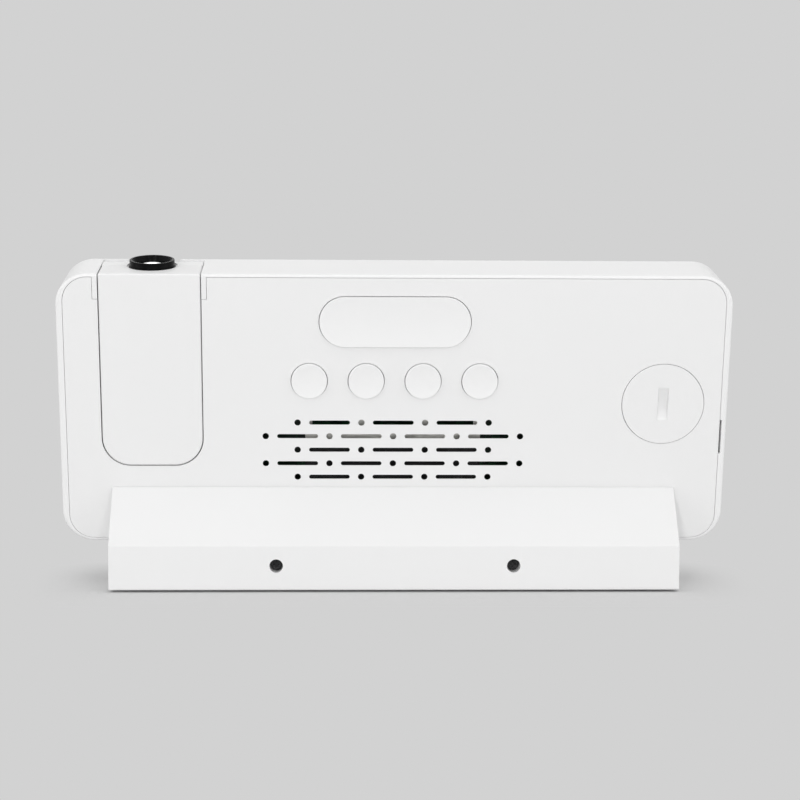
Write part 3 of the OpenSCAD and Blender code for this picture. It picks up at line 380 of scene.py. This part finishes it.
facing_back = Matrix.Rotation(math.radians(-90), 4, "X")
settle(cone, cone_place @ facing_back, paper, "main", "speaker_cone")
ferrite = grained("black_ferrite_ground", "#2A2A2C", "#202022", 0.55, 0.3, 0.01)
moulding("speaker_magnet", ferrite, 0.3, 2)

# Leads: stranded copper in black PVC. One pair is soldered from the board to the speaker, and one
# lead runs round the board's edge to the hinge and on into the arm.
sheath = grained("black_pvc_insulation", "#222224", "#1B1B1D", 0.45, 0.5, 0.004)
for name in ("speaker_leads", "hinge_lead", "projector_lead"):
    moulding(name, sheath, 0.0)

# Buttons: white ABS caps, polished a little finer than the cover round them. Each drops into the
# cover from inside, where a hidden lip holds it, and has a stem down to its switch. The round ones
# are shallow dishes.
button_white = grained("white_abs_satin_cap", "#F0F0F0", "#EDEDED", 0.38, 0.4, 0.006)
moulding("snooze_button", button_white, 0.3, 4)


def turned(name, outline, steps=96):
    """Turns an outline of (radius, height) points in mm round the upright axis."""
    bpy.ops.object.select_all(action="DESELECT")
    bpy.ops.mesh.primitive_plane_add(size=0.001)
    piece = bpy.context.active_object
    piece.name = name
    bpy.ops.object.mode_set(mode="EDIT")
    bpy.ops.mesh.merge(type="CENTER")
    points = [Vector((r / 1000, 0, h / 1000)) for r, h in outline]
    bpy.ops.transform.translate(value=points[0])
    for last, point in zip(points, points[1:]):
        bpy.ops.mesh.extrude_region_move(TRANSFORM_OT_translate={"value": point - last})
    bpy.ops.mesh.select_all(action="SELECT")
    bpy.ops.mesh.spin(steps=steps, angle=2 * math.pi, center=(0, 0, 0), axis=(0, 0, 1))
    bpy.ops.mesh.select_all(action="SELECT")
    bpy.ops.mesh.remove_doubles(threshold=1e-7)
    bpy.ops.mesh.normals_make_consistent(inside=False)
    bpy.ops.object.mode_set(mode="OBJECT")
    return piece


def soften(piece, width_mm, segments):
    """Breaks the sharp edges of a turned piece."""
    edge = piece.modifiers.new("edge", "BEVEL")
    edge.width = width_mm / 1000
    edge.segments = segments
    edge.limit_method = "ANGLE"
    edge.angle_limit = math.radians(40)
    bpy.ops.object.modifier_apply(modifier="edge")


dish_r = 30.0
dish_floor = 0.5
dish_rim = 4.883
dish = [(r, dish_floor + dish_r - math.sqrt(dish_r ** 2 - r ** 2))
        for r in (dish_rim * k / 10 for k in range(11))]
lip_and_stem = [(5.05, 0.9), (5.05, -1.85), (6.05, -1.85), (6.05, -2.65), (1.7, -2.65),
                (1.7, -5.35), (0, -5.35)]
cap = turned("rear_button_cap", dish + lip_and_stem)
soften(cap, 0.14, 3)
first_x, pitch, button_z = 24.35, 16.1, 0.0479
for i in range(4):
    button = cap
    if i < 3:
        button = bpy.data.objects.new("rear_button_cap_%d" % (i + 1), cap.data.copy())
        bpy.context.scene.collection.objects.link(button)
    opening = Matrix.Translation(((first_x - pitch * i) / 1000, 0, button_z))
    settle(button, opening @ facing_back, button_white, "button_%d" % (i + 1),
           "rear_button_%d" % (i + 1))

# Rear cover: the second ABS moulding, with the button openings, the staggered grille and the
# battery well. Its mould is spark eroded, which gives the eye a fine even satin. The grille's holes
# widen inwards, as the mould's tapered pins leave them, so they look black right to their edges.
cover_white = grained("white_abs_fine_spark_texture", "#EDEDED", "#EAEAEA", 0.46, 0.35, 0.012)
cover_inside = -0.0018
grille_low, grille_high, grille_side = 0.0175, 0.0375, 0.040
hole_draft = 0.00052
cover = merged("rear_cover")
outwards = {}
for face in cover.data.polygons:
    if abs((flat.to_3x3() @ face.normal).y) > 0.1:
        continue
    for v in face.vertices:
        at = flat @ cover.data.vertices[v].co
        in_grille = abs(at.x) < grille_side and grille_low < at.z < grille_high
        if in_grille and abs(at.y - cover_inside) < hair:
            outwards[v] = outwards.get(v, Vector((0, 0, 0))) - face.normal
for v, way in outwards.items():
    cover.data.vertices[v].co += way.normalized() * hole_draft
finish_moulding(cover, "rear_cover", cover_white, 0.08, 2)

# Coin cell and its contacts: a steel can under bright nickel plate, between two springs stamped
# from plated strip. They are the shiniest metal in the clock.
bright = nickel_plate("bright_nickel_plate", "#C4C1BA", "#D6D3CC", 0.6, 3.0, 0.5, 0.12, 0.26)
moulding("coin_cell", bright, 0.25, 3)
moulding("battery_contact_minus", bright, 0.05, 1)
moulding("battery_contact_plus", bright, 0.05, 1)

# Battery cover: a white ABS disc with the rear cover's texture and a slot for a coin. Two lugs lock
# it in the bayonet well.
moulding("battery_cover", cover_white, 0.15, 3)

# Projector arm: two ABS shells, the front one smooth as the housing and the rear one satin as the
# cover, screwed together round the optics and held in the ears by two pins.
moulding("arm_front_shell", housing_white, 0.1, 2)
moulding("arm_rear_shell", cover_white, 0.15, 3)

# Projector optics: a black barrel with polished acrylic lenses, the small liquid-crystal cell, and
# the white lamp on its own board. The crown of the projection lens carries a painted highlight: a
# soft white glow in a small disc, though the lens is no lamp, in place of a reflection there.
moulding("optics_barrel", black_abs, 0.1, 2)
moulding("projector_board", board, 0.0)
moulding("projector_led", phosphor, 0.0)
clear = clear_acrylic("polished_acrylic_lens", "#F4F8FF", 4, 2.0, 0.0, 0.03)
clear.node_tree.nodes["Principled BSDF"].inputs["Coat Weight"].default_value = 0.3
moulding("condenser_lens", clear, 0.0)
moulding("projection_lcd", clear, 0.05, 1)
lens_place = Matrix.Translation((0.0688, -0.0112, 0.07835))
lens_r, lens_back = 4.55, -2.15
dome_r, crown = 10.5, 0.97
dome = [(r, crown - dome_r + math.sqrt(dome_r ** 2 - r ** 2))
        for r in (lens_r * k / 12 for k in range(13))]
# Painted highlight: the lens material glows white in a small disc round the lens axis, fading out
# at its edge.
lens_painted_highlight_material = clear.copy()
lens_painted_highlight_material.name = "polished_acrylic_lens_painted_highlight"
tree = lens_painted_highlight_material.node_tree
highlight_shader = tree.nodes["Principled BSDF"]
highlight_shader.inputs["Emission Color"].default_value = linear("#FFFFFF")
highlight_inner_r, highlight_outer_r, highlight_strength = 0.0025, 0.0031, 1.2
place = shade(tree, "TexCoord").outputs["Object"]
from_lens = shade(tree, "VectorMath", {0: place, 1: (lean @ lens_place).translation},
                  operation="SUBTRACT")
off_axis = shade(tree, "VectorMath", {0: from_lens.outputs[0], 1: leaning_up},
                 operation="CROSS_PRODUCT")
radius = shade(tree, "VectorMath", {0: off_axis.outputs[0]}, operation="LENGTH")
painted_highlight = shade(tree, "MapRange", {
    0: radius.outputs["Value"], 1: highlight_inner_r, 2: highlight_outer_r, 3: highlight_strength, 4: 0.0},
             interpolation_type="SMOOTHSTEP")
tree.links.new(painted_highlight.outputs[0], highlight_shader.inputs["Emission Strength"])
eye = turned("projection_lens_polished", dome + [(lens_r, lens_back), (0, lens_back)])
settle(eye, lens_place, lens_painted_highlight_material, "focus", "projection_lens")

# Focus ring: black ABS, polished outside, that screws the projection lens in and out. Fine steps
# in its mouth keep stray light off the ceiling. It looks near black, with a soft line on its rim.
ring_black = grained("black_abs_gloss", "#070708", "#050506", 0.24, 0.5, 0.003)
ring_black.node_tree.nodes["Principled BSDF"].inputs["Specular IOR Level"].default_value = 0.08
mouth_steps = [(4.6, 0.6), (4.83, 0.6), (4.88, 0.93), (5.08, 0.95), (5.14, 1.28), (5.34, 1.3),
               (5.4, 1.63), (5.6, 1.65), (5.66, 1.98)]
rim_and_flange = [(6.2, 1.98), (6.35, 1.83), (6.35, 0.62), (6.62, 0.56), (6.62, 0.02), (5.2, 0.0)]
threaded_neck = [(5.2, -9.0), (4.0, -9.0), (4.0, -2.2), (4.6, -2.2), (4.6, 0.6)]
ring = turned("focus_ring_stepped", mouth_steps + rim_and_flange + threaded_neck, 128)
soften(ring, 0.06, 2)
settle(ring, lens_place, ring_black, "focus", "focus_ring")

# Foot: a satin white ABS shell closed by a clipped base plate, with four rubber pads below. Two
# steel screws in deep counterbores hold it to the housing; their near-black colour is painted
# shade, for the dark deep in the counterbores.
foot_white = grained("white_abs_satin_foot", "#E9E9E9", "#E6E6E6", 0.42, 0.4, 0.008)
moulding("foot_shell", foot_white, 0.35, 4)
moulding("foot_base", foot_white, 0.2, 2)
# Painted shade: the screws are coloured near black for the shade in their deep counterbores.
screw_painted_shade = grained("steel_screw_dark_painted_shade", "#3A3A3B", "#2B2B2C", 0.42, 0.5, 0.006)
screw_painted_shade.node_tree.nodes["Principled BSDF"].inputs["Metallic"].default_value = 0.6
moulding("foot_screws", screw_painted_shade, 0.1, 2)
rubber = grained("black_rubber_pad", "#232324", "#1B1B1C", 0.75, 0.6, 0.03)
moulding("foot_pads", rubber, 0.12, 2)

# Table and light: a pale grey paper sweep, lit softly from all round. Seen directly, the paper
# fades within a few centimetres of the foot from what its light gives, with the foot's shadow on
# it, to the photograph's even grey.
backdrop_grey = linear("#D2D2D2")
foot_half = (0.0805, 0.017, 0)
shadow_reach = 0.026
ground, tree, sweep = surface("grey_paper_sweep")
sweep.inputs["Base Color"].default_value = linear("#D7D7D7")
sweep.inputs["Roughness"].default_value = 0.9
sweep.inputs["Specular IOR Level"].default_value = 0.1
even = shade(tree, "Emission", {"Color": backdrop_grey, "Strength": 1.0})
place = shade(tree, "TexCoord").outputs["Object"]
folded = shade(tree, "VectorMath", {0: place}, operation="ABSOLUTE")
beyond = shade(tree, "VectorMath", {0: folded.outputs[0], 1: foot_half}, operation="SUBTRACT")
outside = shade(tree, "VectorMath", {0: beyond.outputs[0], 1: (0, 0, 0)}, operation="MAXIMUM")
reach = shade(tree, "VectorMath", {0: outside.outputs[0]}, operation="LENGTH")
fade = shade(tree, "MapRange", {
    0: reach.outputs["Value"], 1: 0.0, 2: shadow_reach, 3: 0.0, 4: 1.0},
             interpolation_type="SMOOTHSTEP")


def seen_or_mirrored(tree):
    """1 for what the eye meets directly, in a mirroring surface or through a clear one, else 0."""
    ray = shade(tree, "LightPath").outputs
    mirrored = shade(tree, "Math", {0: ray["Is Glossy Ray"], 1: ray["Is Transmission Ray"]},
                     operation="ADD")
    both = shade(tree, "Math", {0: ray["Is Camera Ray"], 1: mirrored.outputs[0]},
                 operation="ADD", use_clamp=True)
    return both.outputs[0]


share = shade(tree, "Math", {0: seen_or_mirrored(tree), 1: fade.outputs[0]}, operation="MULTIPLY")
blend = shade(tree, "MixShader", {0: share.outputs[0], 1: sweep.outputs[0], 2: even.outputs[0]})
tree.links.new(blend.outputs[0], tree.nodes["Material Output"].inputs["Surface"])
bpy.ops.object.select_all(action="DESELECT")
bpy.ops.mesh.primitive_plane_add(size=6)
table = bpy.context.active_object
table.name = "table"
table.data.materials.append(ground)

surroundings = bpy.data.worlds.new("soft_studio")
bpy.context.scene.world = surroundings
surroundings.use_nodes = True
tree = surroundings.node_tree
around = tree.nodes["Background"]
around.inputs["Color"].default_value = linear("#F2F2F2")
around.inputs["Strength"].default_value = 0.75
behind = shade(tree, "Background", {"Color": backdrop_grey, "Strength": 1.0})
choice = shade(tree, "MixShader", {
    0: seen_or_mirrored(tree), 1: around.outputs[0], 2: behind.outputs[0]})
tree.links.new(choice.outputs[0], tree.nodes["World Output"].inputs["Surface"])

clock_middle = (0, 0, 0.05)
clock_top = (0, 0, 0.08)
for name, place, aim, wide, high, watts in (
    ("softbox_left", (1.05, 0.5, 0.38), clock_middle, 1.1, 0.9, 2.7),
    ("softbox_right", (-1.05, 0.5, 0.38), clock_middle, 1.1, 0.9, 2.7),
    ("softbox_top", (0.0, 0.25, 1.3), clock_middle, 1.0, 1.0, 2.0),
    ("softbox_near_left", (0.42, 1.45, 0.3), clock_middle, 0.2, 0.2, 3.7),
    ("softbox_near_right", (-0.42, 1.45, 0.3), clock_middle, 0.2, 0.2, 2.3),
    ("strip_behind", (0.0, -1.0, 0.65), clock_top, 1.4, 0.05, 0.6),
):
    lamp = bpy.data.lights.new(name, "AREA")
    lamp.shape = "RECTANGLE"
    lamp.size = wide
    lamp.size_y = high
    lamp.energy = watts
    held = bpy.data.objects.new(name, lamp)
    held.location = place
    held.rotation_euler = (Vector(place) - Vector(aim)).to_track_quat("Z", "Y").to_euler()
    bpy.context.scene.collection.objects.link(held)

bpy.context.scene.view_settings.view_transform = "Standard"
